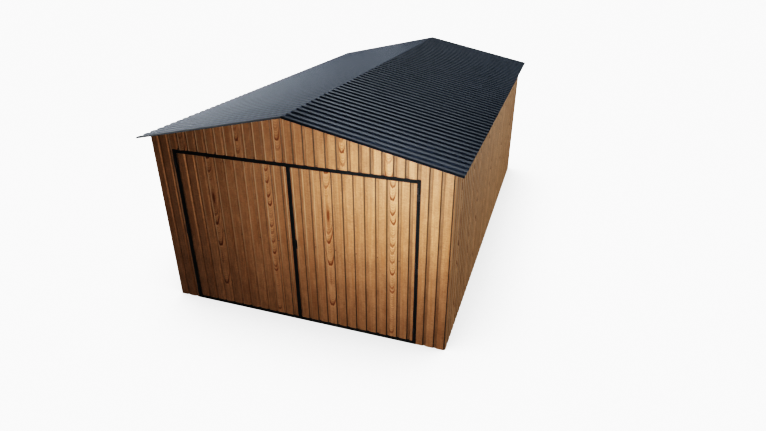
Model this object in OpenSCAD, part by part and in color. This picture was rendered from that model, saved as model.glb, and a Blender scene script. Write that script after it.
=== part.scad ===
// Sheet-steel garage with a gabled roof and a two-leaf swing gate.
// Millimetres, +Z up, ground at z = 0, the gate faces -Y and the origin is
// the centre of the footprint on the ground.

/* [Building] */
// Width over the side walls
width = 3500; // [3300:10:4500]
// Length over the end walls
length = 6000; // [4000:10:8000]
// Rise of the roof from the side walls to the ridge
roof_rise = 375; // [250:5:600]
// How far the roof reaches past the side walls
side_overhang = 91; // [40:1:200]
// How far the roof reaches past the end walls
end_overhang = 111; // [40:1:250]

/* [Wall cladding] */
// Nominal width of one pressed board with its groove
board_pitch = 120; // [100:1:160]
// Width of the bottom of a groove
groove_w = 20; // [20:1:28]
// Width of each sloping side of a groove
groove_side = 11; // [5:1:16]
// Depth of a groove
groove_depth = 9; // [6:1:12]
// Thickness of the wall sheet
sheet_t = 0.8; // [0.5:0.1:1.5]

/* [Roof sheet] */
// Nominal distance between the roof ribs
rib_pitch = 114; // [100:1:160]
// Width of the flat between two ribs
valley_w = 38; // [20:1:50]
// Width of each sloping side of a rib
rib_side = 12; // [8:1:18]
// Height of a rib
rib_h = 15; // [10:1:25]
// Thickness of the roof sheet
roof_t = 0.8; // [0.5:0.1:1.5]

/* [Frame] */
// Side of the square tube of the frame
tube = 40; // [30:1:50]

/* [Gate] */
// Clear height under the gate header
gate_h = 1976; // [1800:1:2400]
// Height of the front wall from the header's underside up to the eaves
over_gate = 152; // [100:1:600]
// Width of the front wall left of the gate's clear opening
pier_left = 299.5; // [150:0.5:700]
// Width of the front wall right of the gate's clear opening
pier_right = 354.5; // [150:0.5:700]
// Width of the fixed frame that shows beside and over the leaves
lip = 17; // [10:1:25]
// Height of the threshold
threshold_h = 16; // [8:1:30]
// How far the gate frame stands proud of the boards
frame_proud = 2; // [1:0.5:6]
// Gap around the leaves
leaf_gap = 6; // [5:0.5:10]
// Gap between the two leaves
meeting_gap = 7; // [6.5:0.5:12]
// Face width of the leaf frame's tube
leaf_face = 17; // [12:1:30]
// Depth of the leaf frame's tube
leaf_depth = 40; // [25:1:50]
// Height of the middle rail of a leaf
mid_rail = 30; // [20:1:50]

/* [Hinges] */
// Radius of the hinge barrels
barrel_r = 7; // [6:0.5:10]
// Height of each half of a hinge
barrel_h = 70; // [40:1:100]
// Radius of the hinge pin
pin_r = 4; // [3:0.5:5]
// Height that the pin stands above its barrel
pin_h = 62; // [30:1:66]
// Clearance between a hinge's two halves and around its pin
hinge_play = 0.3; // [0.2:0.1:0.6]
// Thickness of the flags that carry the barrels
flag_t = 4; // [3:0.5:5]
// Distance from the end of a leaf to the middle of the nearest hinge
hinge_inset = 130; // [90:1:300]

/* [Handle] */
// Width of the handle's plate
handle_w = 34; // [26:1:50]
// Height of the handle
handle_h = 112; // [90:1:200]
// Height of the middle of the handle above the ground
handle_z = 1041; // [800:1:1200]
// Thickness of the handle's plate
plate_t = 4; // [3:0.5:8]
// Width of the grip
grip_w = 20; // [14:1:24]
// Thickness of the grip
grip_t = 8; // [6:1:14]
// Room for fingers behind the grip
finger_gap = 18; // [14:1:40]
// Height of each foot of the grip
foot_h = 16; // [10:1:24]
// Distance from the handle's plate to the leaf's meeting edge
handle_edge = 4; // [2:1:12]

/* [Hidden] */

// Fineness of the round parts
$fn = 48;

// Colours
STEEL = [0.62, 0.64, 0.66];
BLACK = [0.05, 0.05, 0.06];
WOOD = [0.62, 0.39, 0.22];
SLATE = [0.30, 0.34, 0.38];

// --- Roof line ---
// Height of the roof's underside at the side walls
eave_h = gate_h + over_gate;
slope_t = roof_rise / (width / 2);
slope = atan(slope_t);
ridge_h = eave_h + roof_rise;
// Height of the roof's underside above a place x across the building
function roof_z(x) = ridge_h - abs(x) * slope_t;

// --- Pressed sheets ---
// Depth of a wall sheet, from its boards' face to the tubes behind it
skin = groove_depth + sheet_t;
function boards(span) = round(span / board_pitch);
// A pressing is [centre of the first groove, pitch, bottom, side, depth].
// The walls' corners lie in half grooves, whose bottoms hold the next sheet
function wall_press(span) = [
    0, span / boards(span), max(groove_w, 2 * skin), groove_side, groove_depth
];
roof_len = length + 2 * end_overhang;
roof_ribs = round((roof_len + valley_w) / rib_pitch);
roof_press = [
    -valley_w / 2, (roof_len + valley_w) / roof_ribs,
    valley_w, rib_side, rib_h
];
// A pressing with its grooves' bottoms wider by twice w
function widened(s, w) = [s[0], s[1], s[2] + 2 * w, s[3], s[4]];
// Depth of a pressed face at u below its highest flats
function press_depth(u, s) =
    let (k = max(0, round((u - s[0]) / s[1])))
    let (r = abs(u - s[0] - k * s[1]))
    s[4] * min(1, max(0, (s[2] / 2 + s[3] - r) / s[3]));
// Places of the bends of a pressed face between a and b, in order
function bends(a, b, s) = [
    for (k = [0 : ceil((b - s[0]) / s[1])])
        for (e = [-s[2] / 2 - s[3], -s[2] / 2, s[2] / 2, s[2] / 2 + s[3]])
            let (u = s[0] + k * s[1] + e)
            if (u > a && u < b) u
];
// Points of a pressed face from a to b, lowered by drop
function face(a, b, s, drop) = [
    for (u = concat([a], bends(a, b, s), [b])) [u, press_depth(u, s) + drop]
];
function backwards(list) = [for (i = [len(list) - 1 : -1 : 0]) list[i]];
// Outline of a sheet of thickness t, equally thick on its flats and sides
function sheet_outline(a, b, s, t) =
    let (bend = atan(s[4] / s[3]))
    concat(face(a, b, s, 0), backwards(face(a, b, widened(s, t * tan(bend / 2)), t)));

// A wall sheet from a to b of a wall span long, its face towards -Y
module wall_sheet(span, a, b, h) {
    linear_extrude(h)
        polygon(sheet_outline(a, b, wall_press(span), sheet_t));
}
// What lies under the roof, from y0 to y0 + d
module under_roof(y0, d) {
    translate([0, y0 + d, 0])
        rotate([90, 0, 0])
            linear_extrude(d)
                polygon([
                    [-width / 2, 0], [width / 2, 0], [width / 2, eave_h],
                    [0, ridge_h], [-width / 2, eave_h]
                ]);
}

// --- Frame ---
post_x = width / 2 - skin;
post_y = length / 2 - skin;
inner_x = post_x - tube;
inner_y = post_y - tube;
beam_top = roof_z(post_x);
post_top = beam_top - tube;
// Height of a sloping tube, measured straight down
rafter_v = tube / cos(slope);
// Clearance between the sloping tubes and the roof sheets that lie on them
roof_seat = 0.02;
// The rafter lines, from the front to the back
line_pitch = (2 * post_y - tube) / 3;
function line_y(i) = -post_y + i * line_pitch;

// An upright or a lying tube between two opposite corners
module bar(low, high) {
    translate(low)
        cube(high - low);
}
// A tube with its top at the roof's underside, from x0 to x1 and y0 to y1
module roof_bar(x0, x1, y0, y1) {
    z0 = roof_z(x0) - roof_seat;
    z1 = roof_z(x1) - roof_seat;
    translate([0, y1, 0])
        rotate([90, 0, 0])
            linear_extrude(y1 - y0)
                polygon([
                    [x0, z0], [x1, z1], [x1, z1 - rafter_v], [x0, z0 - rafter_v]
                ]);
}
// side is -1 on the left and 1 on the right; end is -1 in front, 1 behind
module corner_post(side, end) {
    x = side < 0 ? -post_x : inner_x;
    y = end < 0 ? -post_y : inner_y;
    z = end < 0 ? threshold_h : 0;
    color(STEEL)
        bar([x, y, z], [x + tube, y + tube, post_top]);
}
module side_post(side, i) {
    x = side < 0 ? -post_x : inner_x;
    color(STEEL)
        bar([x, line_y(i), tube], [x + tube, line_y(i) + tube, post_top]);
}
module base_rail(side) {
    x = side < 0 ? -post_x : inner_x;
    color(STEEL)
        bar([x, -inner_y, 0], [x + tube, inner_y, tube]);
}
module base_rail_back() {
    color(STEEL)
        bar([-inner_x, inner_y, 0], [inner_x, post_y, tube]);
}
module back_post() {
    color(STEEL)
        bar([-tube / 2, inner_y, tube], [tube / 2, post_y, post_top - tube]);
}
module tie_beam_back() {
    color(STEEL)
        bar([-inner_x, inner_y, post_top - tube], [inner_x, post_y, post_top]);
}
module eave_beam(side) {
    x = side < 0 ? -post_x : inner_x;
    color(STEEL)
        bar([x, -post_y, post_top], [x + tube, post_y, beam_top]);
}
module ridge_beam() {
    top = roof_z(tube / 2);
    color(STEEL)
        bar([-tube / 2, -post_y, top - tube], [tube / 2, post_y, top]);
}
module rafter(side, i) {
    x0 = side < 0 ? -inner_x : tube / 2;
    x1 = side < 0 ? -tube / 2 : inner_x;
    color(STEEL)
        roof_bar(x0, x1, line_y(i), line_y(i) + tube);
}
module purlin(side) {
    x = side * post_x / 2;
    color(STEEL)
        for (i = [0 : 2])
            roof_bar(x - tube / 2, x + tube / 2, line_y(i) + tube, line_y(i + 1));
}

// --- Gate frame ---
frame_y = -length / 2 - frame_proud;
gate_l = -width / 2 + pier_left;
gate_r = width / 2 - pier_right;

// The post's tube, with a lip in front that closes the wall sheet's edge
module gate_post(side) {
    tube_x = side < 0 ? gate_l - tube : gate_r;
    lip_x = side < 0 ? gate_l - lip : gate_r;
    color(BLACK)
        union() {
            bar([tube_x, -post_y, threshold_h], [tube_x + tube, -inner_y, gate_h]);
            bar([lip_x, frame_y, threshold_h], [lip_x + lip, -inner_y, gate_h]);
            bar([lip_x, frame_y, threshold_h], [lip_x + lip, -post_y, gate_h + lip]);
        }
}
module gate_header() {
    color(BLACK)
        union() {
            bar([-inner_x, -post_y, gate_h], [inner_x, -inner_y, gate_h + tube]);
            bar([gate_l, frame_y, gate_h], [gate_r, -inner_y, gate_h + lip]);
        }
}
module threshold() {
    color(BLACK)
        union() {
            bar([-post_x, -post_y, 0], [post_x, -inner_y, threshold_h]);
            bar([gate_l - lip, frame_y, 0], [gate_r + lip, -inner_y, threshold_h]);
        }
}

// --- Walls ---
module side_wall(side) {
    color(WOOD)
        translate([side * width / 2, -side * length / 2, 0])
            rotate([0, 0, side * 90])
                wall_sheet(length, groove_depth, length - skin, eave_h);
}
module back_wall() {
    color(WOOD)
        intersection() {
            translate([width / 2, length / 2, 0])
                rotate([0, 0, 180])
                    wall_sheet(width, groove_depth, width - skin, ridge_h);
            under_roof(length / 2 - skin, skin);
        }
}
// Part of the front sheet between two places and above z0
module front_sheet(x0, x1, z0) {
    color(WOOD)
        intersection() {
            translate([-width / 2, -length / 2, z0])
                wall_sheet(width, x0 + width / 2, x1 + width / 2, ridge_h - z0);
            under_roof(-length / 2, skin);
        }
}

// --- Roof ---
module roof_sheet(side) {
    down = (width / 2 + side_overhang) / cos(slope);
    back = (rib_h + roof_t) * slope_t;
    top = rib_h + roof_t;
    color(SLATE)
        intersection() {
            translate([0, 0, ridge_h])
                rotate([0, 0, side < 0 ? 180 : 0])
                    rotate([0, slope, 0])
                        translate([-back, -roof_len / 2, top])
                            rotate([90, 0, 90])
                                linear_extrude(down + back)
                                    mirror([0, 1, 0])
                                        polygon(sheet_outline(
                                            0, roof_len, roof_press, roof_t));
            bar(
                [side < 0 ? -width : 0, -roof_len, 0],
                [side < 0 ? 0 : width, roof_len, 2 * ridge_h]);
        }
}

// --- Leaves ---
leaf_w = (gate_r - gate_l - 2 * leaf_gap - meeting_gap) / 2;
leaf_z0 = threshold_h + leaf_gap;
leaf_z1 = gate_h - leaf_gap;
leaf_back = frame_y + leaf_depth;
skin_z0 = leaf_z0 + leaf_face;
skin_z1 = leaf_z1 - leaf_face;
function leaf_x0(side) = side < 0 ? gate_l + leaf_gap : gate_r - leaf_gap - leaf_w;

module leaf_frame(side) {
    x0 = leaf_x0(side);
    x1 = x0 + leaf_w;
    color(BLACK)
        union() {
            bar([x0, frame_y, leaf_z0], [x0 + leaf_face, leaf_back, leaf_z1]);
            bar([x1 - leaf_face, frame_y, leaf_z0], [x1, leaf_back, leaf_z1]);
            bar([x0, frame_y, leaf_z0], [x1, leaf_back, skin_z0]);
            bar([x0, frame_y, skin_z1], [x1, leaf_back, leaf_z1]);
            bar(
                [x0, -post_y, handle_z - mid_rail / 2],
                [x1, leaf_back, handle_z + mid_rail / 2]);
        }
}
// The leaf's sheet is cut from a full one, starting at its left edge
module leaf_skin(side) {
    color(WOOD)
        translate([leaf_x0(side) + leaf_face, -length / 2, skin_z0])
            wall_sheet(width, 0, leaf_w - 2 * leaf_face, skin_z1 - skin_z0);
}

// --- Hinges ---
hinge_y = frame_y - barrel_r;
function hinge_x(side) = side < 0 ? gate_l + leaf_gap / 2 : gate_r - leaf_gap / 2;
// Heights where the two halves of each hinge meet
hinge_zs = [
    leaf_z0 + hinge_inset, (leaf_z0 + leaf_z1) / 2, leaf_z1 - hinge_inset
];

// A barrel along +Z from the origin, with a flag that reaches along dir
module barrel(dir, reach) {
    cylinder(r = barrel_r, h = barrel_h);
    translate([dir < 0 ? -reach : 0, barrel_r - flag_t, 0])
        cube([reach, flag_t, barrel_h]);
}
module post_hinges() {
    reach = lip + leaf_gap / 2;
    color(BLACK)
        for (side = [-1, 1])
            for (z = hinge_zs)
                translate([hinge_x(side), hinge_y, z - barrel_h])
                    union() {
                        barrel(side, reach);
                        cylinder(r = pin_r, h = barrel_h + pin_h);
                    }
}
module leaf_hinges(side) {
    reach = leaf_face + leaf_gap / 2;
    color(BLACK)
        for (z = hinge_zs)
            translate([hinge_x(side), hinge_y, z + hinge_play])
                difference() {
                    barrel(-side, reach);
                    translate([0, 0, -1])
                        cylinder(r = pin_r + hinge_play, h = pin_h + 1);
                }
}

// --- Handle ---
// A bow handle on the meeting edge of the right leaf
module right_leaf_handle() {
    x0 = leaf_x0(1) + handle_edge;
    z0 = handle_z - handle_h / 2;
    grip_x = x0 + (handle_w - grip_w) / 2;
    grip_y = frame_y - plate_t - finger_gap;
    color(BLACK)
        union() {
            bar([x0, frame_y - plate_t, z0], [x0 + handle_w, frame_y, z0 + handle_h]);
            difference() {
                bar(
                    [grip_x, grip_y - grip_t, z0],
                    [grip_x + grip_w, frame_y, z0 + handle_h]);
                bar(
                    [grip_x - 1, grip_y, z0 + foot_h],
                    [grip_x + grip_w + 1, frame_y - plate_t, z0 + handle_h - foot_h]);
            }
        }
}

base_rail(-1);  // base_rail_left
base_rail(1);  // base_rail_right
base_rail_back();
threshold();
corner_post(-1, -1);  // corner_post_front_left
corner_post(1, -1);  // corner_post_front_right
corner_post(-1, 1);  // corner_post_back_left
corner_post(1, 1);  // corner_post_back_right
side_post(-1, 1);  // side_post_left_1
side_post(-1, 2);  // side_post_left_2
side_post(1, 1);  // side_post_right_1
side_post(1, 2);  // side_post_right_2
back_post();
eave_beam(-1);  // eave_beam_left
eave_beam(1);  // eave_beam_right
ridge_beam();
rafter(-1, 0);  // rafter_left_1
rafter(-1, 1);  // rafter_left_2
rafter(-1, 2);  // rafter_left_3
rafter(-1, 3);  // rafter_left_4
rafter(1, 0);  // rafter_right_1
rafter(1, 1);  // rafter_right_2
rafter(1, 2);  // rafter_right_3
rafter(1, 3);  // rafter_right_4
purlin(-1);  // purlin_left
purlin(1);  // purlin_right
tie_beam_back();
gate_post(-1);  // gate_post_left
gate_post(1);  // gate_post_right
gate_header();
post_hinges();
side_wall(-1);  // left_wall
side_wall(1);  // right_wall
back_wall();
front_sheet(-width / 2 + groove_depth, gate_l - lip, 0);  // front_wall_left
front_sheet(gate_r + lip, width / 2 - skin, 0);  // front_wall_right
front_sheet(gate_l - lip, gate_r + lip, gate_h + lip);  // front_gable
roof_sheet(-1);  // roof_left
roof_sheet(1);  // roof_right
leaf_frame(-1);  // left_leaf_frame
leaf_skin(-1);  // left_leaf_skin
leaf_hinges(-1);  // left_leaf_hinges
leaf_frame(1);  // right_leaf_frame
leaf_skin(1);  // right_leaf_skin
leaf_hinges(1);  // right_leaf_hinges
right_leaf_handle();
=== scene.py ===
"""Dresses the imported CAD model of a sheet-steel garage with a wood-grain print.

All lengths are in metres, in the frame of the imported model: the gate faces -Y and
the ground is z = 0.
"""

import math

import bpy
from mathutils import Matrix, Vector

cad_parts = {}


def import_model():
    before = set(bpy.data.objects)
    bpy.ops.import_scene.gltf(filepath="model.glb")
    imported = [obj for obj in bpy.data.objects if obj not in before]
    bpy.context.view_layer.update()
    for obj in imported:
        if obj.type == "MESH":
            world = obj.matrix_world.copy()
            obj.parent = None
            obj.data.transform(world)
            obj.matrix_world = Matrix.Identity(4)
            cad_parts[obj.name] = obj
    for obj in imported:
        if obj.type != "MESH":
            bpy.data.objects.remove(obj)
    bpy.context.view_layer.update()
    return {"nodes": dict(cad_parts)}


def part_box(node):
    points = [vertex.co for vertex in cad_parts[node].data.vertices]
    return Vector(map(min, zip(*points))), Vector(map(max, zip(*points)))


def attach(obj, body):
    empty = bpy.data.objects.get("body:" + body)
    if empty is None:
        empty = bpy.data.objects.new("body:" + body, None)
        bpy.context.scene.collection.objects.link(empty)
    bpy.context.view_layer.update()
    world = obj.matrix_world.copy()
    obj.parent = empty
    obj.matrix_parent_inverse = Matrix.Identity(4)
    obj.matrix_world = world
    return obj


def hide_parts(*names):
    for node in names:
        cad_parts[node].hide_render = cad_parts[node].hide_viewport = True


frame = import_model()
nodes = frame["nodes"]


# --- Sizes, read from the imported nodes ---
def low(node):
    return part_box(node)[0]


def high(node):
    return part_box(node)[1]


MM = 0.001
HALF_W = high("right_wall").x
FRONT_Y = low("front_gable").y
BACK_Y = high("back_wall").y
EAVE_Z = high("right_wall").z
RIDGE_Z = high("front_gable").z
SLOPE = (RIDGE_Z - EAVE_Z) / HALF_W
TUBE = 0.040

SHEET = 0.0008
GROOVE_W, GROOVE_SIDE, GROOVE_DEPTH = 0.020, 0.011, 0.009
SKIN = GROOVE_DEPTH + SHEET
BOARD_W = 0.12
FRONT_BOARDS = round(2 * HALF_W / BOARD_W)
FRONT_PITCH = 2 * HALF_W / FRONT_BOARDS
SIDE_BOARDS = round((BACK_Y - FRONT_Y) / BOARD_W)
SIDE_PITCH = (BACK_Y - FRONT_Y) / SIDE_BOARDS

RIB_SPACE, VALLEY_W, RIB_SIDE, RIB_H = 0.114, 0.038, 0.012, 0.015
ROOF_LENGTH = high("roof_left").y - low("roof_left").y
RIBS = round((ROOF_LENGTH + VALLEY_W) / RIB_SPACE)
RIB_PITCH = (ROOF_LENGTH + VALLEY_W) / RIBS

# The print repeats after this many boards. The sheets of the back and the sides
# start at boards beyond the front's.
PRINT_BOARDS = 10
BACK_FIRST, LEFT_FIRST, RIGHT_FIRST = 30, 60, 120


# --- Shader fields ---
class Field:
    """A shader value in a tree. Plain arithmetic on it adds Math nodes."""

    tree = None

    def __init__(self, socket):
        self.socket = socket

    def __add__(self, other):
        return math_node("ADD", self, other)

    def __radd__(self, other):
        return math_node("ADD", other, self)

    def __sub__(self, other):
        return math_node("SUBTRACT", self, other)

    def __rsub__(self, other):
        return math_node("SUBTRACT", other, self)

    def __mul__(self, other):
        return math_node("MULTIPLY", self, other)

    def __rmul__(self, other):
        return math_node("MULTIPLY", other, self)

    def __truediv__(self, other):
        return math_node("DIVIDE", self, other)


def feed(socket, value):
    """Links a field to a socket, or sets the socket's own number or colour."""
    if isinstance(value, Field):
        Field.tree.links.new(value.socket, socket)
    elif hasattr(socket.default_value, "__len__"):
        values = list(value)
        if len(socket.default_value) == 4 and len(values) == 3:
            values.append(1.0)
        socket.default_value = values
    else:
        socket.default_value = value


def math_node(operation, *values):
    node = Field.tree.nodes.new("ShaderNodeMath")
    node.operation = operation
    for socket, value in zip(node.inputs, values):
        feed(socket, value)
    return Field(node.outputs[0])


def smooth(value, start, end):
    """0 before start, 1 after end, eased between them. end may lie before start."""
    node = Field.tree.nodes.new("ShaderNodeMapRange")
    node.interpolation_type = "SMOOTHSTEP"
    results = (1.0, 0.0) if end < start else (0.0, 1.0)
    for socket, number in zip(node.inputs, (value, min(start, end), max(start, end), *results)):
        feed(socket, number)
    return Field(node.outputs[0])


def vector(x, y, z=0.0):
    node = Field.tree.nodes.new("ShaderNodeCombineXYZ")
    for socket, value in zip(node.inputs, (x, y, z)):
        feed(socket, value)
    return Field(node.outputs[0])


def split(value):
    node = Field.tree.nodes.new("ShaderNodeSeparateXYZ")
    feed(node.inputs[0], value)
    return [Field(socket) for socket in node.outputs]


def noise(where, scale=1.0, detail=2.0, roughness=0.5, distortion=0.0):
    node = Field.tree.nodes.new("ShaderNodeTexNoise")
    feed(node.inputs["Vector"], where)
    feed(node.inputs["Scale"], scale)
    feed(node.inputs["Detail"], detail)
    feed(node.inputs["Roughness"], roughness)
    feed(node.inputs["Distortion"], distortion)
    return Field(node.outputs[0])


def cells(where, scale):
    """(distance, colour) of a Voronoi pattern."""
    node = Field.tree.nodes.new("ShaderNodeTexVoronoi")
    feed(node.inputs["Vector"], where)
    feed(node.inputs["Scale"], scale)
    return Field(node.outputs["Distance"]), Field(node.outputs["Color"])


def chance(where):
    """A number from 0 to 1 that is the same for equal places."""
    node = Field.tree.nodes.new("ShaderNodeTexWhiteNoise")
    node.noise_dimensions = "3D"
    feed(node.inputs["Vector"], where)
    return Field(node.outputs["Value"])


# Places of the Mix node's sockets for colours
MIX_FACTOR, MIX_ONE, MIX_TWO, MIX_RESULT = 0, 6, 7, 2


def mix(factor, one, two, blend="MIX"):
    node = Field.tree.nodes.new("ShaderNodeMix")
    node.data_type = "RGBA"
    node.blend_type = blend
    feed(node.inputs[MIX_FACTOR], factor)
    feed(node.inputs[MIX_ONE], one)
    feed(node.inputs[MIX_TWO], two)
    return Field(node.outputs[MIX_RESULT])


def scaled(colour, factor):
    """A colour times a number."""
    return mix(1.0, colour, vector(factor, factor, factor), blend="MULTIPLY")


def ramp(value, *stops):
    node = Field.tree.nodes.new("ShaderNodeValToRGB")
    feed(node.inputs[0], value)
    elements = node.color_ramp.elements
    while len(elements) < len(stops):
        elements.new(1.0)
    for element, (place, colour) in zip(elements, stops):
        element.position = place
        element.color = (*colour, 1.0)
    return Field(node.outputs[0])


def bump(height, distance, strength=1.0):
    node = Field.tree.nodes.new("ShaderNodeBump")
    node.inputs["Strength"].default_value = strength
    node.inputs["Distance"].default_value = distance
    feed(node.inputs["Height"], height)
    return Field(node.outputs[0])


def object_place():
    node = Field.tree.nodes.new("ShaderNodeTexCoord")
    return Field(node.outputs["Object"])


def sheet_place():
    """(boards or ribs from the sheet's edge, metres along them)."""
    node = Field.tree.nodes.new("ShaderNodeUVMap")
    node.uv_map = "sheet"
    return split(Field(node.outputs[0]))[:2]


def material(name, paint):
    """A material whose Principled inputs are what paint() gives by name."""
    made = bpy.data.materials.new(name)
    made.use_nodes = True
    Field.tree = made.node_tree
    shader = made.node_tree.nodes["Principled BSDF"]
    for key, value in paint().items():
        feed(shader.inputs[key], value)
    return made


# --- Materials ---
def band(value, start, end, soft):
    """1 between start and end, easing to 0 within soft outside them."""
    return smooth(value, start - soft, start) * smooth(value, end + soft, end)


def varied(value, amount):
    """A noise from 0 to 1 turned into a change of up to half the amount each way."""
    return (value - 0.5) * amount


def hooks(height, marks):
    """(height above the last mark passed, that mark's strength). marks are
    (height, strength), upwards. A stepped ramp holds them as its colours."""
    reach, below, lead = 2.6, 0.3, 0.012
    node = Field.tree.nodes.new("ShaderNodeValToRGB")
    node.color_ramp.interpolation = "CONSTANT"
    feed(node.inputs[0], height / reach)
    elements = node.color_ramp.elements
    while len(elements) < len(marks) + 1:
        elements.new(1.0)
    for element, (mark, strength) in zip(elements, ((-below, 0.0), *marks)):
        element.position = max(0.0, (mark - lead) / reach)
        element.color = ((mark + below) / reach, strength, 0.0, 1.0)
    last, strength, _ = split(Field(node.outputs[0]))
    return height + below - last * reach, strength


# The two figured boards among the print's ten, and the (height, strength) of the
# lowest points of the dark hooks on them
WIDE_BOARD, SMALL_BOARD = 3, 9
WIDE_HOOKS = (
    (0.30, 0.70), (0.60, 0.12), (0.84, 1.00), (0.99, 0.15), (1.12, 1.00), (1.235, 0.50),
    (1.66, 0.15), (1.77, 0.55), (1.93, 0.90), (2.12, 0.35), (2.23, 0.75), (2.34, 0.30),
    (2.45, 0.70),
)
SMALL_HOOKS = (
    (0.08, 0.55), (0.22, 0.12), (0.40, 0.15), (0.55, 0.10), (0.625, 0.60), (0.68, 0.55),
    (0.86, 0.75), (1.00, 0.55), (1.12, 0.45), (1.205, 0.60), (1.32, 0.25), (1.465, 1.00),
    (1.575, 0.80), (1.735, 0.95), (1.875, 0.70), (2.04, 0.50), (2.17, 0.90), (2.29, 0.40),
    (2.40, 0.80),
)
EYE_Z, HALO_Z, STROKE_Z = 1.46, 1.44, 0.68
GABLE_START = (1.96, 1.99)

WOOD_TONES = (
    (0.00, (0.125, 0.056, 0.024)),
    (0.30, (0.240, 0.114, 0.053)),
    (0.52, (0.380, 0.185, 0.092)),
    (0.74, (0.540, 0.266, 0.138)),
    (1.00, (0.730, 0.360, 0.190)),
)
ORANGE_STREAK = (0.300, 0.118, 0.042)
DARK_FIGURE = (0.145, 0.046, 0.013)
# Colours of the painted shade in the grooves and of the painted light on the grooves' edges
GROOVE_SHADE = (0.048, 0.037, 0.021)
PAINTED_EDGE_LIGHT = (0.76, 0.50, 0.32)
PAINTED_GABLE_LIGHT = (0.90, 0.60, 0.40)


def figure(x, z, seed, marks, curve, half, tail):
    """(dark marks, light rims below them, fine rings): the nested U shapes down
    the middle of a flat-sawn board. curve is how sharply they bend, half their
    half width and tail how far a mark fades upwards."""
    line_height, rim_drop, ring_gap = 0.026, 0.024, 0.030
    sway = varied(noise(vector(z * 3.1, seed, 4.0), detail=1), half * 0.9)
    lean = varied(noise(vector(z * 5.3, seed, 8.0), detail=1), 2.2)
    ragged = varied(noise(vector(x * 60, z * 22, seed), detail=3), 0.045)
    side = x + sway
    away = math_node("ABSOLUTE", side)
    bow = side * side
    lift = bow * (0.38 + bow * 330) * curve + side * lean + ragged
    above, strength = hooks(z - lift, marks)
    fade = 1 - smooth(away, half * 0.5, half) * 0.35
    inner = smooth(away, half * 1.15, half * 0.9)
    # The arms of a hook are steep, so its line keeps its width across the board.
    line = above / (1 + away * 70)
    body = smooth(above, tail, 0.008) * 0.55 + smooth(line, line_height, 0.006) * 0.60
    mark = smooth(above, -0.004, 0.003) * body * strength * fade
    over, rim_strength = hooks(z - lift + rim_drop, marks)
    rim = smooth(over, -0.006, 0.008) * smooth(over, 0.030, 0.018) * rim_strength * fade
    rings = math_node("SINE", (above + ragged) * (math.tau / ring_gap))
    return mark * inner, rim * inner, rings * inner * smooth(above, 0.20, 0.03)


def spot(x, z, x_half, z_half):
    """A long soft spot round (0, 0)."""
    return smooth(x * x * (1 / x_half**2) + z * z * (1 / z_half**2), 1.4, 0.2)


def joints_with_painted_light(colour, s, z):
    """The joints between the boards, on the grooves' sides and edges. Their dark lines are
    partly the print's joints and partly painted shade, and their pale lines are painted light.
    They follow how the light falls on the front: pale on the front's first boards and dark from
    about the tenth on, stronger higher up, and palest on the gable over the gate, whose middle
    boards get some painted shade."""
    joint = s - math_node("FLOOR", s + 0.5)
    left_side = band(joint, -0.172, -0.080, 0.012)
    right_edge = band(joint, 0.090, 0.245, 0.02)
    up = smooth(z, 0.40, 1.45)
    gable = smooth(z, *GABLE_START)

    first_boards = smooth(s, 3.2, 1.8)
    # Painted light: the grooves' left sides on the first boards are lighter higher up and a
    # little darker low down.
    colour = scaled(colour, 1 + left_side * first_boards * (up * 0.58 - 0.14))
    # Painted shade on the grooves' left sides, over the print's dark joints: from about the
    # third board on, less low down on the first boards and less on the gable.
    dark = smooth(s, 2.0, 4.5) * 0.3 + smooth(s, 6.5, 10.5) * 0.5
    dark = dark + smooth(s, 10.5, 15.0) * 0.12
    dark = dark * (1 - smooth(s, 11.0, 9.0) * (1 - up) * 0.45)
    dark = dark * (1 - gable * smooth(s, 17.0, 9.0) * 0.55)
    colour = mix(left_side * dark, colour, GROOVE_SHADE)
    # Painted light: a pale line along each groove's right edge on the first fifteen boards,
    # stronger higher up.
    pale = smooth(s, 1.0, 3.0) * smooth(s, 15.5, 9.5) * (0.12 + up * 0.50)
    colour = mix(right_edge * pale, colour, PAINTED_EDGE_LIGHT)

    # Painted shade over the gable's middle boards.
    gable_middle_shade = gable * smooth(s, 7.0, 10.0) * smooth(s, 19.0, 16.0)
    colour = scaled(colour, 1 - gable_middle_shade * 0.13)
    # Painted light: a bright line along the gable's grooves.
    gable_edge_light = gable * smooth(s, 1.6, 3.0) * smooth(s, 19.0, 9.5)
    gable_edge_light = gable_edge_light * band(joint, 0.100, 0.220, 0.03)
    colour = mix(gable_edge_light * 0.60, colour, PAINTED_GABLE_LIGHT)
    # Painted shade in the grooves of the front's boards from about the sixteenth to the
    # thirtieth.
    last_boards = smooth(s, 16.0, 21.0) * smooth(s, 30.5, 29.5)
    groove = band(joint, -0.080, 0.180, 0.02)
    return mix(groove * last_boards * 0.42, colour, GROOVE_SHADE)


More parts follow.
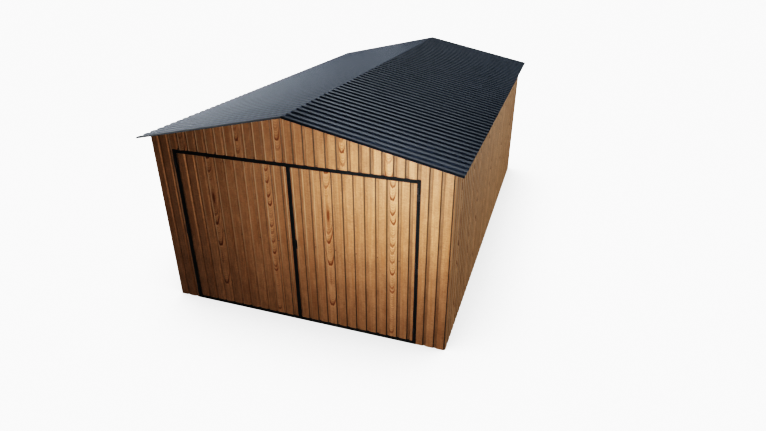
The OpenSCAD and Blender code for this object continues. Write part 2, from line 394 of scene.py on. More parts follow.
def wood_print():
    s, z = sheet_place()
    board = math_node("FLOOR", s)
    x = (s - board - 0.5) * BOARD_W
    kind = math_node("FLOORED_MODULO", board, float(PRINT_BOARDS))
    across = s * BOARD_W
    fibre = noise(vector(across * 330, z * 6, 1.0), detail=3, roughness=0.6)
    streak = noise(vector(across * 55, z * 1.3, 2.0), detail=3)
    cloud = noise(vector(across * 12, z * 6.0, 3.0), detail=4, roughness=0.6)
    patch = noise(vector(across * 4.0, z * 2.2, 4.0), detail=2)
    curl = noise(vector(across * 34, z * 60, 5.0), detail=3, distortion=1.2)
    flow = noise(vector(across * 26, z * 1.1, 7.0), detail=2, distortion=0.6)
    pores = smooth(noise(vector(across * 700, z * 45, 6.0), detail=1), 0.62, 0.76)

    wide = band(kind, WIDE_BOARD - 0.1, WIDE_BOARD + 0.1, 0.2)
    small = band(kind, SMALL_BOARD - 0.1, SMALL_BOARD + 0.1, 0.2)
    wide_mark, wide_rim, wide_rings = figure(
        x + 0.008, z, 11.0, WIDE_HOOKS, curve=50.0, half=0.060, tail=0.085
    )
    small_mark, small_rim, small_rings = figure(
        x + 0.011, z, 23.0, SMALL_HOOKS, curve=75.0, half=0.035, tail=0.055
    )
    drift = varied(cloud, 0.09)
    ripple = varied(curl, 0.012)
    eye = spot(x + 0.006 + ripple, z - EYE_Z + drift, 0.015, 0.070)
    halo = spot(x + 0.008 + ripple, z - HALO_Z + drift, 0.034, 0.16)
    stroke = spot(x + 0.010, z - STROKE_Z + drift, 0.011, 0.11)
    spots = eye * 0.55 + halo * 0.36 + stroke * 0.4
    mark = (wide_mark + spots) * wide + small_mark * small
    rim = wide_rim * wide + small_rim * small
    rings = wide_rings * wide + small_rings * small

    tone = (
        0.52
        + varied(fibre, 0.26)
        + varied(streak, 0.34)
        + varied(cloud, 0.42)
        + varied(patch, 0.12)
        + varied(curl, 0.44)
        + varied(chance(vector(kind, 2.0, 5.0)), 0.10)
        + varied(chance(vector(board, 3.0, 9.0)), 0.03)
        + wide * 0.07
        + small * 0.15
        + rim * 0.13
        + rings * 0.12
        - pores * 0.06
    )
    colour = ramp(tone, *WOOD_TONES)
    colour = mix(smooth(flow, 0.48, 0.70) * 0.42, colour, ORANGE_STREAK)
    colour = mix(math_node("MINIMUM", mark * 1.15, 1.0), colour, DARK_FIGURE)
    relief = fibre * 0.5 + curl * 0.5 - pores * 0.2 - mark * 0.3
    return {
        "Base Color": joints_with_painted_light(colour, s, z),
        "Roughness": 0.46 + fibre * 0.06 + cloud * 0.06,
        "Specular IOR Level": 0.45,
        "Normal": bump(relief, 0.0002, 0.5),
    }


def roof_coat():
    """Dark semi-gloss paint with dust, with painted bluish light in the valleys and painted
    shade along the verges.
    """
    s, along = sheet_place()
    t = s - math_node("FLOOR", s)
    place = object_place()
    dust = noise(place, 3.2, detail=4, roughness=0.6)
    runs = noise(vector(s * 9, along * 0.7, 3.0), detail=3, roughness=0.6)
    speck = noise(place, 240, detail=3, roughness=0.7)
    grain = noise(place, 900, detail=2)
    valley = smooth(math_node("ABSOLUTE", t - 0.5), 0.215, 0.31)
    # Painted shade lies along the sheet's first and last valley, where no rib stands in front;
    # the paint is rougher there too.
    painted_verge_shade = smooth(s, 0.50, 0.30) + smooth(s, RIBS - 0.45, RIBS - 0.30)
    tint = 0.45 + varied(dust, 0.35) + varied(runs, 0.30) + varied(speck, 0.25)
    colour = ramp(
        tint,
        (0.00, (0.018, 0.024, 0.033)),
        (0.50, (0.029, 0.038, 0.052)),
        (1.00, (0.046, 0.057, 0.073)),
    )
    # Painted light: the valleys and the ribs' sides are lighter and bluer, as if lit by a blue
    # sky.
    colour = mix(valley * 0.9, colour, (0.110, 0.142, 0.212))
    colour = mix(painted_verge_shade, colour, (0.007, 0.010, 0.015))
    return {
        "Base Color": colour,
        "Roughness": 0.31 + dust * 0.10 + speck * 0.06 + valley * 0.06 + painted_verge_shade * 0.25,
        "Specular Tint": (0.84, 0.915, 0.975),
        "Normal": bump(grain, 0.00012, 0.4),
    }


def back_coat():
    """The plain primer on the sheets' inner faces."""
    place = object_place()
    x, y, _ = split(place)
    streaks = noise(vector(x * 6, y * 6, 0.5), detail=3)
    cloud = noise(place, 2.0, detail=4)
    grain = noise(place, 700, detail=2)
    colour = ramp(
        0.5 + varied(streaks, 0.4) + varied(cloud, 0.5),
        (0.0, (0.25, 0.26, 0.25)),
        (1.0, (0.40, 0.41, 0.39)),
    )
    return {
        "Base Color": colour,
        "Roughness": 0.46 + cloud * 0.12,
        "Normal": bump(grain, 0.0001, 0.3),
    }


def cut_steel():
    """The bare metal of the sheets' cut edges."""
    place = object_place()
    shade = noise(place, 240, detail=3)
    return {
        "Base Color": ramp(shade, (0.2, (0.24, 0.24, 0.25)), (0.8, (0.46, 0.46, 0.47))),
        "Metallic": 0.9,
        "Roughness": 0.40 + shade * 0.2,
    }


def black_coat():
    """Matt black paint with some dust near the ground."""
    place = object_place()
    grain = noise(place, 520, detail=3, roughness=0.6)
    cloud = noise(place, 4.0, detail=3)
    height = split(place)[2]
    dust = smooth(height, 0.35, 0.0) * smooth(noise(place, 30, detail=4), 0.45, 0.75)
    colour = ramp(
        cloud + varied(grain, 0.3),
        (0.2, (0.0100, 0.0115, 0.0120)),
        (0.8, (0.0200, 0.0225, 0.0230)),
    )
    colour = mix(dust * 0.16, colour, (0.16, 0.14, 0.12))
    return {
        "Base Color": colour,
        "Roughness": 0.44 + grain * 0.14 + dust * 0.2,
        "Specular IOR Level": 0.22,
        "Normal": bump(grain, 0.0002, 0.5),
    }


def pin_steel():
    """Bare turned steel with a grey film and some wear."""
    place = object_place()
    turning = noise(vector(0.0, 0.0, split(place)[2] * 900), detail=2)
    grey = noise(place, 90, detail=3)
    return {
        "Base Color": ramp(grey, (0.25, (0.035, 0.036, 0.038)), (0.75, (0.085, 0.086, 0.09))),
        "Metallic": 0.7,
        "Roughness": 0.44 + grey * 0.2,
        "Normal": bump(turning, 0.0001, 0.4),
    }


def zinc():
    """Galvanised steel with its crystals and some white bloom."""
    place = object_place()
    spread = noise(place, 14, detail=2)
    distance, colour = cells(place, 85)
    facet = split(colour)[0]
    fine = split(cells(place, 240)[1])[1]
    white = smooth(noise(place, 5, detail=4, roughness=0.65), 0.52, 0.78)
    tint = facet * 0.55 + fine * 0.25 + spread * 0.2
    base = ramp(tint, (0.1, (0.34, 0.36, 0.38)), (0.9, (0.60, 0.62, 0.64)))
    base = mix(white * 0.45, base, (0.60, 0.61, 0.62))
    return {
        "Base Color": base,
        "Metallic": 0.85 - white * 0.5,
        "Roughness": 0.30 + facet * 0.16 + white * 0.2,
        "Normal": bump(distance, 0.00015, 0.3),
    }


def painted_head(dark, light):
    """The paint of a screw's head, worn to the metal in places."""

    def paint():
        place = object_place()
        cloud = noise(place, 160, detail=3)
        wear = smooth(noise(place, 900, detail=2), 0.66, 0.76)
        paint_colour = ramp(cloud, (0.2, dark), (0.8, light))
        return {
            "Base Color": mix(wear * 0.5, paint_colour, (0.30, 0.31, 0.32)),
            "Roughness": 0.32 + cloud * 0.2,
        }

    return paint


def rubber():
    grain = noise(object_place(), 800, detail=2)
    return {
        "Base Color": ramp(grain, (0.2, (0.010, 0.010, 0.011)), (0.8, (0.022, 0.022, 0.024))),
        "Roughness": 0.75 + grain * 0.15,
        "Normal": bump(grain, 0.0001, 0.5),
    }


def weld():
    place = object_place()
    scale = noise(place, 260, detail=4, roughness=0.65)
    return {
        "Base Color": ramp(scale, (0.2, (0.20, 0.205, 0.21)), (0.8, (0.46, 0.47, 0.48))),
        "Metallic": 0.7,
        "Roughness": 0.42 + scale * 0.2,
        "Normal": bump(scale, 0.0004, 0.6),
    }


WOOD = material("wood_print", wood_print)
ROOF = material("roof_coat", roof_coat)
PRIMER = material("back_coat", back_coat)
CUT = material("cut_steel", cut_steel)
BLACK = material("black_coat", black_coat)
PIN_STEEL = material("pin_steel", pin_steel)
ZINC = material("zinc_spangle", zinc)
BROWN_HEAD = material("brown_head", painted_head((0.10, 0.045, 0.018), (0.17, 0.080, 0.032)))
GREY_HEAD = material("grey_head", painted_head((0.030, 0.036, 0.044), (0.060, 0.068, 0.076)))
RUBBER = material("rubber", rubber)
WELD = material("weld", weld)


# --- Pressed sheets with rounded bends ---
WALL_BEND, ROOF_BEND = 0.0022, 0.0028


def centre_line(corners, radius, steps=3):
    """The corners' polyline with an arc of that radius at each inner corner."""
    made = [Vector(corners[0])]
    for before, here, after in zip(corners, corners[1:], corners[2:]):
        here = Vector(here)
        one = (Vector(before) - here).normalized()
        two = (Vector(after) - here).normalized()
        turn = math.pi - one.angle(two)
        if turn < 1e-4:
            made.append(here)
            continue
        reach = radius * math.tan(turn / 2)
        middle = here + (one + two).normalized() * (radius / math.cos(turn / 2))
        start = here + one * reach - middle
        sign = 1 if start.cross(here + two * reach - middle) > 0 else -1
        for k in range(steps + 1):
            made.append(middle + Matrix.Rotation(sign * turn * k / steps, 2) @ start)
    made.append(Vector(corners[-1]))
    return made


def offset_line(points, distance):
    """The polyline moved sideways; its two ends are cut square to the sheet."""
    made = []
    last = len(points) - 1
    for k, point in enumerate(points):
        if k in (0, last):
            made.append(point + Vector((0, distance)))
            continue
        along = (points[k + 1] - points[k - 1]).normalized()
        made.append(point + distance * Vector((-along.y, along.x)))
    return made


def press_corners(a, b, first, pitch, bottom, side, depth, breaks=()):
    """Corners of a pressed face from a to b, as (place, depth below the crest).
    breaks are more places where the line gets a corner."""

    def fall(u):
        k = max(0, round((u - first) / pitch))
        return depth * min(1, max(0, (bottom / 2 + side - abs(u - first - k * pitch)) / side))

    places = {a, b, *(u for u in breaks if a < u < b)}
    for k in range(int((b - first) / pitch) + 2):
        for e in (-bottom / 2 - side, -bottom / 2, bottom / 2, bottom / 2 + side):
            u = first + k * pitch + e
            if a + 1e-6 < u < b - 1e-6:
                places.add(u)
    return [(u, -fall(u)) for u in sorted(places)]


def mesh_piece(name, points, faces, slots, marks=None, uvs=None, smooth_angle=None):
    """A new object. marks are the faces' material slots, uvs a place on the
    print for each point, and edges over smooth_angle degrees stay sharp."""
    mesh = bpy.data.meshes.new(name)
    mesh.from_pydata([tuple(p) for p in points], [], faces)
    for slot in slots:
        mesh.materials.append(slot)
    if marks:
        mesh.polygons.foreach_set("material_index", marks)
    if uvs:
        layer = mesh.uv_layers.new(name="sheet")
        for loop in mesh.loops:
            layer.data[loop.index].uv = uvs[loop.vertex_index]
    mesh.update()
    mesh.validate()
    piece = bpy.data.objects.new(name, mesh)
    bpy.context.scene.collection.objects.link(piece)
    if smooth_angle is not None:
        mesh.shade_smooth()
        mesh.set_sharp_from_angle(angle=math.radians(smooth_angle))
    return piece


def pressed_sheet(node, body, slots, corners, radius, ends, place, uv_of):
    """The sheet that stands for a node. ends(q) gives where it starts and stops
    at the point q of its pressed line, place(u, d, v) a point in the frame and
    uv_of(u, v) its place on the print."""
    line = centre_line([(u, d - SHEET / 2) for u, d in corners], radius)
    points, uvs, faces, marks = [], [], [], []
    for side_line in (offset_line(line, SHEET / 2), offset_line(line, -SHEET / 2)):
        for q in side_line:
            for v in ends(q):
                points.append(place(q.x, q.y, v))
                uvs.append(uv_of(q.x, v))
    last = len(line) - 1
    arc_step = 2 * MM
    bent = []

    def at(face, k, row):
        return (face * (last + 1) + k) * 2 + row

    for k in range(last):
        faces += [
            (at(0, k, 0), at(0, k + 1, 0), at(0, k + 1, 1), at(0, k, 1)),
            (at(1, k, 1), at(1, k + 1, 1), at(1, k + 1, 0), at(1, k, 0)),
            (at(1, k, 0), at(1, k + 1, 0), at(0, k + 1, 0), at(0, k, 0)),
            (at(0, k, 1), at(0, k + 1, 1), at(1, k + 1, 1), at(1, k, 1)),
        ]
        marks += [0, 1, 2, 2]
        bent += [(line[k + 1] - line[k]).length < arc_step] * 4
    faces.append((at(1, 0, 0), at(0, 0, 0), at(0, 0, 1), at(1, 0, 1)))
    faces.append((at(0, last, 0), at(1, last, 0), at(1, last, 1), at(0, last, 1)))
    marks += [2, 2]
    piece = mesh_piece(node + "_sheet", points, faces, slots, marks, uvs, smooth_angle=30)
    # Only the bends are shaded round; the flats between them stay flat.
    piece.data.polygons.foreach_set("use_smooth", bent + [False, False])
    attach(piece, body)
    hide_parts(node)


def roof_under(x):
    """Height of the roof's underside."""
    return RIDGE_Z - abs(x) * SLOPE


def wall_sheet(node, body, pitch, a, b, ends, place, uv_of, breaks=()):
    corners = press_corners(a, b, 0, pitch, GROOVE_W, GROOVE_SIDE, GROOVE_DEPTH, breaks)
    slots = (WOOD, PRIMER, CUT)
    pressed_sheet(node, body, slots, corners, WALL_BEND, ends, place, uv_of)


def front_piece(node):
    lo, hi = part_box(node)
    wall_sheet(
        node,
        "root",
        FRONT_PITCH,
        lo.x + HALF_W,
        hi.x + HALF_W,
        lambda q: (lo.z, roof_under(q.x - HALF_W)),
        lambda u, d, v: (u - HALF_W, FRONT_Y - d, v),
        lambda u, v: (u / FRONT_PITCH, v),
        (HALF_W,),
    )


def back_piece():
    wall_sheet(
        "back_wall",
        "root",
        FRONT_PITCH,
        GROOVE_DEPTH,
        2 * HALF_W - SKIN,
        lambda q: (0.0, roof_under(q.x - HALF_W)),
        lambda u, d, v: (HALF_W - u, BACK_Y + d, v),
        lambda u, v: (u / FRONT_PITCH + BACK_FIRST, v),
        (HALF_W,),
    )


def side_piece(side):
    span = BACK_Y - FRONT_Y
    first_board = LEFT_FIRST if side < 0 else RIGHT_FIRST
    wall_sheet(
        "left_wall" if side < 0 else "right_wall",
        "root",
        SIDE_PITCH,
        GROOVE_DEPTH,
        span - SKIN,
        lambda q: (0.0, EAVE_Z),
        lambda u, d, v: (side * (HALF_W + d), side * (u - span / 2), v),
        lambda u, v: (u / SIDE_PITCH + first_board, v),
    )


def leaf_piece(body, first_board):
    lo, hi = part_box(body + "_skin")
    wall_sheet(
        body + "_skin",
        body,
        FRONT_PITCH,
        0.0,
        hi.x - lo.x,
        lambda q: (lo.z, hi.z),
        lambda u, d, v: (lo.x + u, FRONT_Y - d, v),
        lambda u, v: (u / FRONT_PITCH + first_board, v),
    )


def roof_piece(side):
    node = "roof_left" if side < 0 else "roof_right"
    lo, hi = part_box(node)
    corners = press_corners(0, ROOF_LENGTH, -VALLEY_W / 2, RIB_PITCH, VALLEY_W, RIB_SIDE, RIB_H)
    tilt = math.atan(SLOPE)
    top = RIB_H + SHEET
    low_end = (max(-lo.x, hi.x) - top * math.sin(tilt)) / math.cos(tilt)

    # d is 0 at the crests; the underside of the valleys lies on the roof's line.
    def place(u, d, v):
        rise = top + d
        x = v * math.cos(tilt) + rise * math.sin(tilt)
        z = RIDGE_Z - v * math.sin(tilt) + rise * math.cos(tilt)
        return (side * x, side * (u - ROOF_LENGTH / 2), z)

    pressed_sheet(
        node,
        "root",
        (ROOF, PRIMER, CUT),
        corners,
        ROOF_BEND,
        # The upper end is cut upright at the ridge.
        lambda q: (-(top + q.y) * math.tan(tilt), low_end),
        place,
        lambda u, v: ((u + VALLEY_W / 2) / RIB_PITCH, v),
    )


for node in ("front_wall_left", "front_wall_right", "front_gable"):
    front_piece(node)
back_piece()
for side in (-1, 1):
    side_piece(side)
    roof_piece(side)
leaf_piece("left_leaf", 0)
leaf_piece("right_leaf", PRINT_BOARDS)


# --- Screws and welds ---
def upright(normal):
    """Two directions square to a normal and to each other."""
    side = normal.cross(Vector((0, 0, 1)))
    if side.length < 1e-3:
        side = Vector((1, 0, 0))
    side.normalize()
    return side, normal.cross(side)


def in_mm(*profile):
    """(radius, height) pairs given in millimetres, in metres."""
    return [(radius * MM, height * MM) for radius, height in profile]


WASHER = in_mm((7.2, 0), (7.2, 1.4), (6.2, 1.6))
FLANGE = in_mm((6.7, 1.3), (6.7, 2.0), (5.4, 2.5))
HEX_HEAD = in_mm((4.6, 2.2), (4.6, 5.4), (3.9, 6.1))
PAN_HEAD = in_mm((2.9, 0), (2.5, 0.8), (1.4, 1.2))
ROUND, HEX, BEAD_SIDES = 12, 6, 8
FRAME_BEAD, SEAM_BEAD = 0.0028, 0.0022


class Pile:
    """Turned and swept forms gathered into one mesh."""

    def __init__(self):
        self.points, self.faces, self.marks = [], [], []

    def turned(self, foot, normal, profile, count, mark):
        """profile is (radius, height) from the foot up; its top is closed."""
        one, two = upright(normal)
        first = len(self.points)
        for radius, height in profile:
            for k in range(count):
                angle = math.tau * (k + 0.5) / count
                way = one * math.cos(angle) + two * math.sin(angle)
                self.points.append(foot + normal * height + way * radius)
        top = first + (len(profile) - 1) * count
        for ring in range(first, top, count):
            self.band(ring, count, mark)
        self.faces.append(tuple(range(top, top + count)))
        self.marks.append(mark)

    def band(self, ring, count, mark):
        """Faces between the ring of points that starts at ring and the next one."""
        for k in range(count):
            a, b = ring + k, ring + (k + 1) % count
            self.faces.append((a, b, b + count, a + count))
            self.marks.append(mark)

    def sheet_screw(self, foot, normal):
        """A hexagon head with its flange, on a rubber washer."""
        self.turned(foot, normal, WASHER, ROUND, 0)
        self.turned(foot, normal, FLANGE, ROUND, 1)
        self.turned(foot, normal, HEX_HEAD, HEX, 1)

    def bead(self, start, end, radius=FRAME_BEAD):
        """A welded seam, with the small ripples that each drop leaves."""
        drop, ripple = 2.1 * MM, 0.16
        start, end = Vector(start), Vector(end)
        along = (end - start).normalized()
        one, two = upright(along)
        rings = max(4, round((end - start).length / drop))
        first = len(self.points)
        for ring in range(rings + 1):
            taper = min(1, (ring + 0.6) / 2, (rings - ring + 0.6) / 2)
            reach = radius * taper * (1 + ripple * (ring % 2))
            middle = start.lerp(end, ring / rings)
            for k in range(BEAD_SIDES):
                angle = math.tau * k / BEAD_SIDES
                way = one * math.cos(angle) + two * math.sin(angle)
                self.points.append(middle + way * reach)
        last = first + rings * BEAD_SIDES
        for ring in range(first, last, BEAD_SIDES):
            self.band(ring, BEAD_SIDES, 0)
        self.faces.append(tuple(reversed(range(first, first + BEAD_SIDES))))
        self.faces.append(tuple(range(last, last + BEAD_SIDES)))
        self.marks += [0, 0]

    def finish(self, name, body, slots, slot):
        piece = mesh_piece(name, self.points, self.faces, slots, self.marks, smooth_angle=40)
        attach(piece, body)


def middle(node, axis):
    return (low(node)[axis] + high(node)[axis]) / 2


def side_wall_screws(side, name):
    """In every other groove, at the base rail and the eave beam."""
    pile = Pile()
    for k in range(1, SIDE_BOARDS, 2):
        for rail in ("base_rail_right", "eave_beam_right"):
            y = FRONT_Y + k * SIDE_PITCH
            foot = Vector((side * (HALF_W - GROOVE_DEPTH), y, middle(rail, 2)))
            pile.sheet_screw(foot, Vector((side, 0, 0)))
    pile.finish(f"{name}_wall_screws", "root", (RUBBER, BROWN_HEAD), "black_fittings")


def end_wall_screws(end, name):
    """In every other groove, under the roof, and at the rails behind the sheet."""
    pile = Pile()
    below_roof, below_header = 0.024, 0.012
    jamb_gap, corner_gap = 0.05, 0.03
    gate_left = high("gate_post_left").x - jamb_gap
    gate_right = low("gate_post_right").x + jamb_gap
    groove_y = (FRONT_Y if end < 0 else BACK_Y) - end * GROOVE_DEPTH
    for k in range(1, FRONT_BOARDS, 2):
        x = -HALF_W + k * FRONT_PITCH
        heights = [roof_under(x) - below_roof]
        if end > 0:
            heights += [middle("base_rail_right", 2), middle("tie_beam_back", 2)]
        elif gate_left <= x <= gate_right or abs(x) >= HALF_W - corner_gap:
            heights.append(high("gate_header").z - below_header)
        for z in heights:
            pile.sheet_screw(Vector((x, groove_y, z)), Vector((0, end, 0)))
    pile.finish(f"{name}_wall_screws", "root", (RUBBER, BROWN_HEAD), "black_fittings")


def roof_screws(side, name):
    """In every other valley, at the ridge beam, the purlin and the eave beam."""
    from_ridge = 0.045
    tilt = math.atan(SLOPE)
    normal = Vector((side * math.sin(tilt), 0, math.cos(tilt)))
    lines = (
        middle("ridge_beam", 0) + from_ridge,
        abs(middle(f"purlin_{name}", 0)),
        abs(middle(f"eave_beam_{name}", 0)),
    )
    pile = Pile()
    for k in range(1, RIBS, 2):
        y = side * (-VALLEY_W / 2 + k * RIB_PITCH - ROOF_LENGTH / 2)
        if abs(y) > BACK_Y:
            continue
        for x in lines:
            foot = Vector((side * x, y, roof_under(x))) + normal * SHEET
            pile.sheet_screw(foot, normal)
    pile.finish(f"roof_{name}_screws", "root", (RUBBER, GREY_HEAD), "black_fittings")


def inside(y):
    """Whether y is clear of the end walls' sheets."""
    return abs(y) < BACK_Y - SKIN - MM


def post_beads(pile):
    """Along the front and back of each post's two ends."""
    inset, ground = 0.003, 0.01
    for node in sorted(nodes):
        if node.startswith(("corner_post", "side_post", "back_post")):
            lo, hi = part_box(node)
            for z in (lo.z, hi.z):
                for y in (lo.y, hi.y):
                    if z > ground and inside(y):
                        pile.bead((lo.x + inset, y, z), (hi.x - inset, y, z))


def rafter_beads(pile):
    """Up the sides of each rafter's two ends."""
    foot_gap, top_gap = 0.003, 0.004
    upright_tube = TUBE / math.cos(math.atan(SLOPE))
    for node in sorted(nodes):
        if node.startswith("rafter_"):
            lo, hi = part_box(node)
            for x in (lo.x, hi.x):
                top = roof_under(x)
                for y in (lo.y, hi.y):
                    if inside(y):
                        pile.bead((x, y, top - upright_tube + foot_gap), (x, y, top - top_gap))


def purlin_beads(pile):
    """Up both sides of a purlin where it meets a rafter."""
    top_gap = 0.004
    for side in ("left", "right"):
        node = f"purlin_{side}"
        x = middle(node, 0)
        for line in (1, 2, 3, 4):
            lo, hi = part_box(f"rafter_{side}_{line}")
            for y in (lo.y, hi.y):
                if low(node).y - 1e-4 < y < high(node).y + 1e-4:
                    for edge in (x - TUBE / 2, x + TUBE / 2):
                        top = roof_under(edge)
                        pile.bead((edge, y, top - TUBE), (edge, y, top - top_gap))


def frame_welds():
    pile = Pile()
    post_beads(pile)
    rafter_beads(pile)
    purlin_beads(pile)
    pile.finish("frame_welds", "root", (WELD,), "galvanised_tube")


def leaf_details(body):
    """Seams in the leaf frame's corners and the screws that hold its sheet."""
    half_rail, edge_gap = 0.015, 0.02
    rail = middle("right_leaf_handle", 2)
    start, stop = FRONT_Y + SKIN + 0.003, high(body + "_frame").y - 0.002
    skin_lo, skin_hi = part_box(body + "_skin")
    seams = Pile()
    for x in (skin_lo.x, skin_hi.x):
        for z in (skin_lo.z, skin_hi.z, rail - half_rail, rail + half_rail):
            seams.bead((x, start, z), (x, stop, z), SEAM_BEAD)
    seams.finish(body + "_seams", body, (BLACK,), "black_steel")
    pile = Pile()
    for k in range(2, FRONT_BOARDS, 2):
        x = skin_lo.x + k * FRONT_PITCH
        if x < skin_hi.x - edge_gap:
            pile.sheet_screw(Vector((x, FRONT_Y + GROOVE_DEPTH, rail)), Vector((0, -1, 0)))
    pile.finish(body + "_screws", body, (RUBBER, BROWN_HEAD), "black_fittings")


def handle_screws():
    """At the corners of the handle's plate."""
    in_x, in_z, plate, sides = 0.0036, 0.008, 0.004, 14
    lo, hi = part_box("right_leaf_handle")
    y = low("right_leaf_frame").y - plate
    pile = Pile()
    for x in (lo.x + in_x, hi.x - in_x):
        for z in (lo.z + in_z, hi.z - in_z):
            pile.turned(Vector((x, y, z)), Vector((0, -1, 0)), PAN_HEAD, sides, 0)
    pile.finish("handle_screws", "right_leaf", (ZINC,), "black_fittings")


SIDES = ((-1, "left"), (1, "right"))
for side, name in SIDES:
    side_wall_screws(side, name)
for end, name in ((-1, "front"), (1, "back")):
    end_wall_screws(end, name)
for side, name in SIDES:
    roof_screws(side, name)
frame_welds()
leaf_details("left_leaf")
leaf_details("right_leaf")
handle_screws()


# --- Finishes of the CAD nodes that show ---
def dress(node, finish, width, segments=2):
    """A finish, and small rounds on the edges, as rolled and coated steel has."""
    piece = nodes[node]
    piece.data.materials.clear()
    piece.data.materials.append(finish)
    piece.modifiers.new("join", "WELD").merge_threshold = 1e-5
    edge = piece.modifiers.new("rounds", "BEVEL")
    edge.width = width
    edge.segments = segments
    edge.limit_method = "ANGLE"
    edge.angle_limit = math.radians(35)
    piece.data.shade_smooth()
    piece.modifiers.new("normals", "WEIGHTED_NORMAL")


# Width of the rounds on each black node
BLACK_NODES = {
    "threshold": 0.0008,
    "gate_post_left": 0.0008,
    "gate_post_right": 0.0008,
    "gate_header": 0.0008,
    "left_leaf_frame": 0.0012,
    "right_leaf_frame": 0.0012,
    "right_leaf_handle": 0.0020,
}
for node in sorted(nodes):
    if node in BLACK_NODES:
        dress(node, BLACK, BLACK_NODES[node])
    elif node.endswith("_hinges"):
        dress(node, PIN_STEEL, 0.0006)
    elif not nodes[node].hide_render:
        dress(node, ZINC, 0.0025, 3)


# --- Floor, light and camera ---
BACKDROP = (2.9, 2.9, 2.9, 1.0)
SKY = (0.013, 0.0165, 0.018)
TONE_PLACES = (0.0, 0.012, 0.03, 0.06, 0.1, 0.16, 0.25, 0.4, 0.6, 0.9, 1.3, 1.9, 3.0)
FLOOR_HALF, FLOOR_Z = 300, -0.0005
FLOOR_GREY, FLOOR_SHOWN = (0.12, 0.12, 0.12), (0.05, 0.05, 0.05)
CAMERA_PLACE = (2.5515, -7.502, 3.8885)
CAMERA_WAY = (-0.2884, 0.8502, -0.4404)
LENS = 24.45
FRONT_TINT = (0.97, 1.02, 0.87)
SIDE_TINT = (0.95, 1.10, 1.10)
SKY_TINT = (0.92, 1.0, 1.10)


def film(x):
    """A film response, from scene light to shown light."""
    return x * (2.51 * x + 0.03) / (x * (2.43 * x + 0.59) + 0.14)


def camera_share():
    """1 on rays from the camera, 0 on all others."""
    return Field(Field.tree.nodes.new("ShaderNodeLightPath").outputs["Is Camera Ray"])


def openness(reach):
    """How far a point is clear of what lies within reach of it, from 0 to 1."""
    node = Field.tree.nodes.new("ShaderNodeAmbientOcclusion")
    node.samples = 16
    node.inputs["Distance"].default_value = reach
    return Field(node.outputs["AO"])


def floor():
    """A plain pale floor. To the camera it glows, with a painted shadow near the building and
    painted shade under its roof; to other rays it is a dark grey that throws little light back,
    like a matt studio floor.
    """
    signs = ((-1, -1), (1, -1), (1, 1), (-1, 1))
    corners = [(x * FLOOR_HALF, y * FLOOR_HALF, FLOOR_Z) for x, y in signs]
    piece = mesh_piece("floor", corners, [(0, 1, 2, 3)], ())
    made = bpy.data.materials.new("pale_floor")
    made.use_nodes = True
    tree = made.node_tree
    shader = tree.nodes["Principled BSDF"]
    shader.inputs["Roughness"].default_value = 0.9
    shader.inputs["Specular IOR Level"].default_value = 0.0
    shader.inputs["Emission Color"].default_value = BACKDROP
    Field.tree = tree
    shown = camera_share()
    feed(shader.inputs["Base Color"], mix(shown, FLOOR_GREY, FLOOR_SHOWN))
    # Painted shadow: the floor's glow fades close to the walls.
    open_sky = smooth(openness(1.6), 0.40, 0.97)
    # Painted shade: under the roof the floor's glow dims, as if in the dark of the building.
    outdoors = smooth(openness(6.5), -0.02, 0.46)
    painted_shade_glow = (0.30 + open_sky * 0.70) * (0.05 + outdoors * 0.95)
    feed(shader.inputs["Emission Strength"], shown * painted_shade_glow)
    piece.data.materials.append(made)


def aim(thing, place, target):
    """Puts a lamp or camera at a place, looking at the target."""
    thing.location = place
    way = Vector(target) - Vector(place)
    thing.rotation_euler = way.to_track_quat("-Z", "Y").to_euler()


def soft_box(name, place, target, width, height, power, colour=(1, 1, 1), gloss=True):
    """A lamp. Without gloss no surface mirrors it."""
    data = bpy.data.lights.new(name, "AREA")
    data.shape = "RECTANGLE"
    data.size, data.size_y = width, height
    data.energy = power
    data.color = colour
    lamp = bpy.data.objects.new(name, data)
    lamp.visible_camera = False
    lamp.visible_glossy = gloss
    bpy.context.scene.collection.objects.link(lamp)
    aim(lamp, place, target)
    return lamp


def flag_off(lamps, node):
    """Keeps lamps from lighting the sheet that stands for a node, as a flag would."""
    shaded = bpy.data.collections.new(f"{node}_shaded")
    shaded.objects.link(bpy.data.objects[f"{node}_sheet"])
    shaded.collection_objects[0].light_linking.link_state = "EXCLUDE"
    for lamp in lamps:
        lamp.light_linking.receiver_collection = shaded


def world():
    """The backdrop that the camera sees, and a faint sky for everything else."""
    made = bpy.data.worlds.new("studio")
    made.use_nodes = True
    tree = made.node_tree
    Field.tree = tree
    feed(tree.nodes["Background"].inputs["Color"], mix(camera_share(), SKY, BACKDROP))
    bpy.context.scene.world = made


def camera():
    data = bpy.data.cameras.new("camera")
    data.sensor_width = 36
    data.lens = LENS
    data.clip_end = 2000
    piece = bpy.data.objects.new("camera", data)
    bpy.context.scene.collection.objects.link(piece)
    aim(piece, CAMERA_PLACE, Vector(CAMERA_PLACE) + Vector(CAMERA_WAY))
    bpy.context.scene.camera = piece


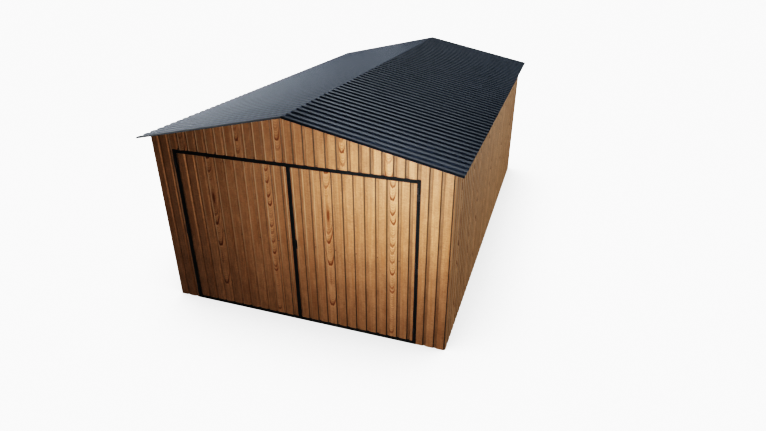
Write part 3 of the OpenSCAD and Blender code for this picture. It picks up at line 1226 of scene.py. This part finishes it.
def tone_curve():
    """A film-like curve, alike in each channel: deep shadows and soft highlights."""
    settings = bpy.context.scene.view_settings
    settings.view_transform = "Standard"
    settings.look = "None"
    settings.use_curve_mapping = True
    mapping = settings.curve_mapping
    mapping.clip_max_x = TONE_PLACES[-1]
    curve = mapping.curves[3]
    curve.points[1].location = (TONE_PLACES[-1], film(TONE_PLACES[-1]))
    for x in TONE_PLACES[1:-1]:
        curve.points.new(x, film(x))
    mapping.update()


floor()
soft_box("key", (0.95, -4.1, 1.8), (0.95, -3.0, 1.6), 0.8, 0.8, 8.4, gloss=False)
soft_box("key_high", (1.3, -4.4, 2.3), (1.3, -3.0, 2.0), 0.8, 0.8, 21, gloss=False)
soft_box("key_side", (1.6, -4.7, 1.5), (1.6, -3.0, 1.3), 0.8, 0.8, 7.5, gloss=False)
soft_box("skim", (2.2, -4.2, 1.9), (-1.2, -3.0, 1.3), 0.8, 0.8, 8, FRONT_TINT, gloss=False)
soft_box("front", (0.0, -6.5, 2.6), (0.0, -3.0, 1.3), 2.5, 2.0, 5, FRONT_TINT)
soft_box("right", (9.0, 0.0, 3.0), (1.7, 0.0, 1.2), 4.0, 3.0, 232, SIDE_TINT)
soft_box("right_low", (7.0, 2.0, 0.8), (1.7, 1.0, 1.2), 4.0, 1.2, 56, SIDE_TINT)
left_high = soft_box("left_high", (-8.0, -3.5, 8.5), (-1.0, -1.0, 2.3), 5.0, 4.0, 300)
left_middle = soft_box("left_middle", (-10.0, -1.0, 5.5), (-1.0, -1.0, 2.3), 5.0, 4.0, 710)
soft_box("left_back_low", (-9.0, 11.0, 2.4), (-1.0, 0.0, 2.3), 11.0, 3.0, 47, SKY_TINT)
soft_box("left_back", (-9.0, 11.0, 5.4), (-1.0, 0.0, 2.3), 11.0, 3.0, 47, SKY_TINT)
soft_box("back_high", (-1.0, 13.0, 11.5), (0.0, 0.0, 2.3), 9.0, 1.8, 273, SKY_TINT)
soft_box("back_low", (-1.0, 13.0, 4.4), (0.0, 0.0, 2.3), 9.0, 2.6, 30, SKY_TINT)
soft_box("behind", (0.0, 8.5, 1.4), (0.0, 3.0, 1.2), 6.0, 1.0, 90)
flag_off((left_high, left_middle), "roof_right")
world()
camera()
tone_curve()
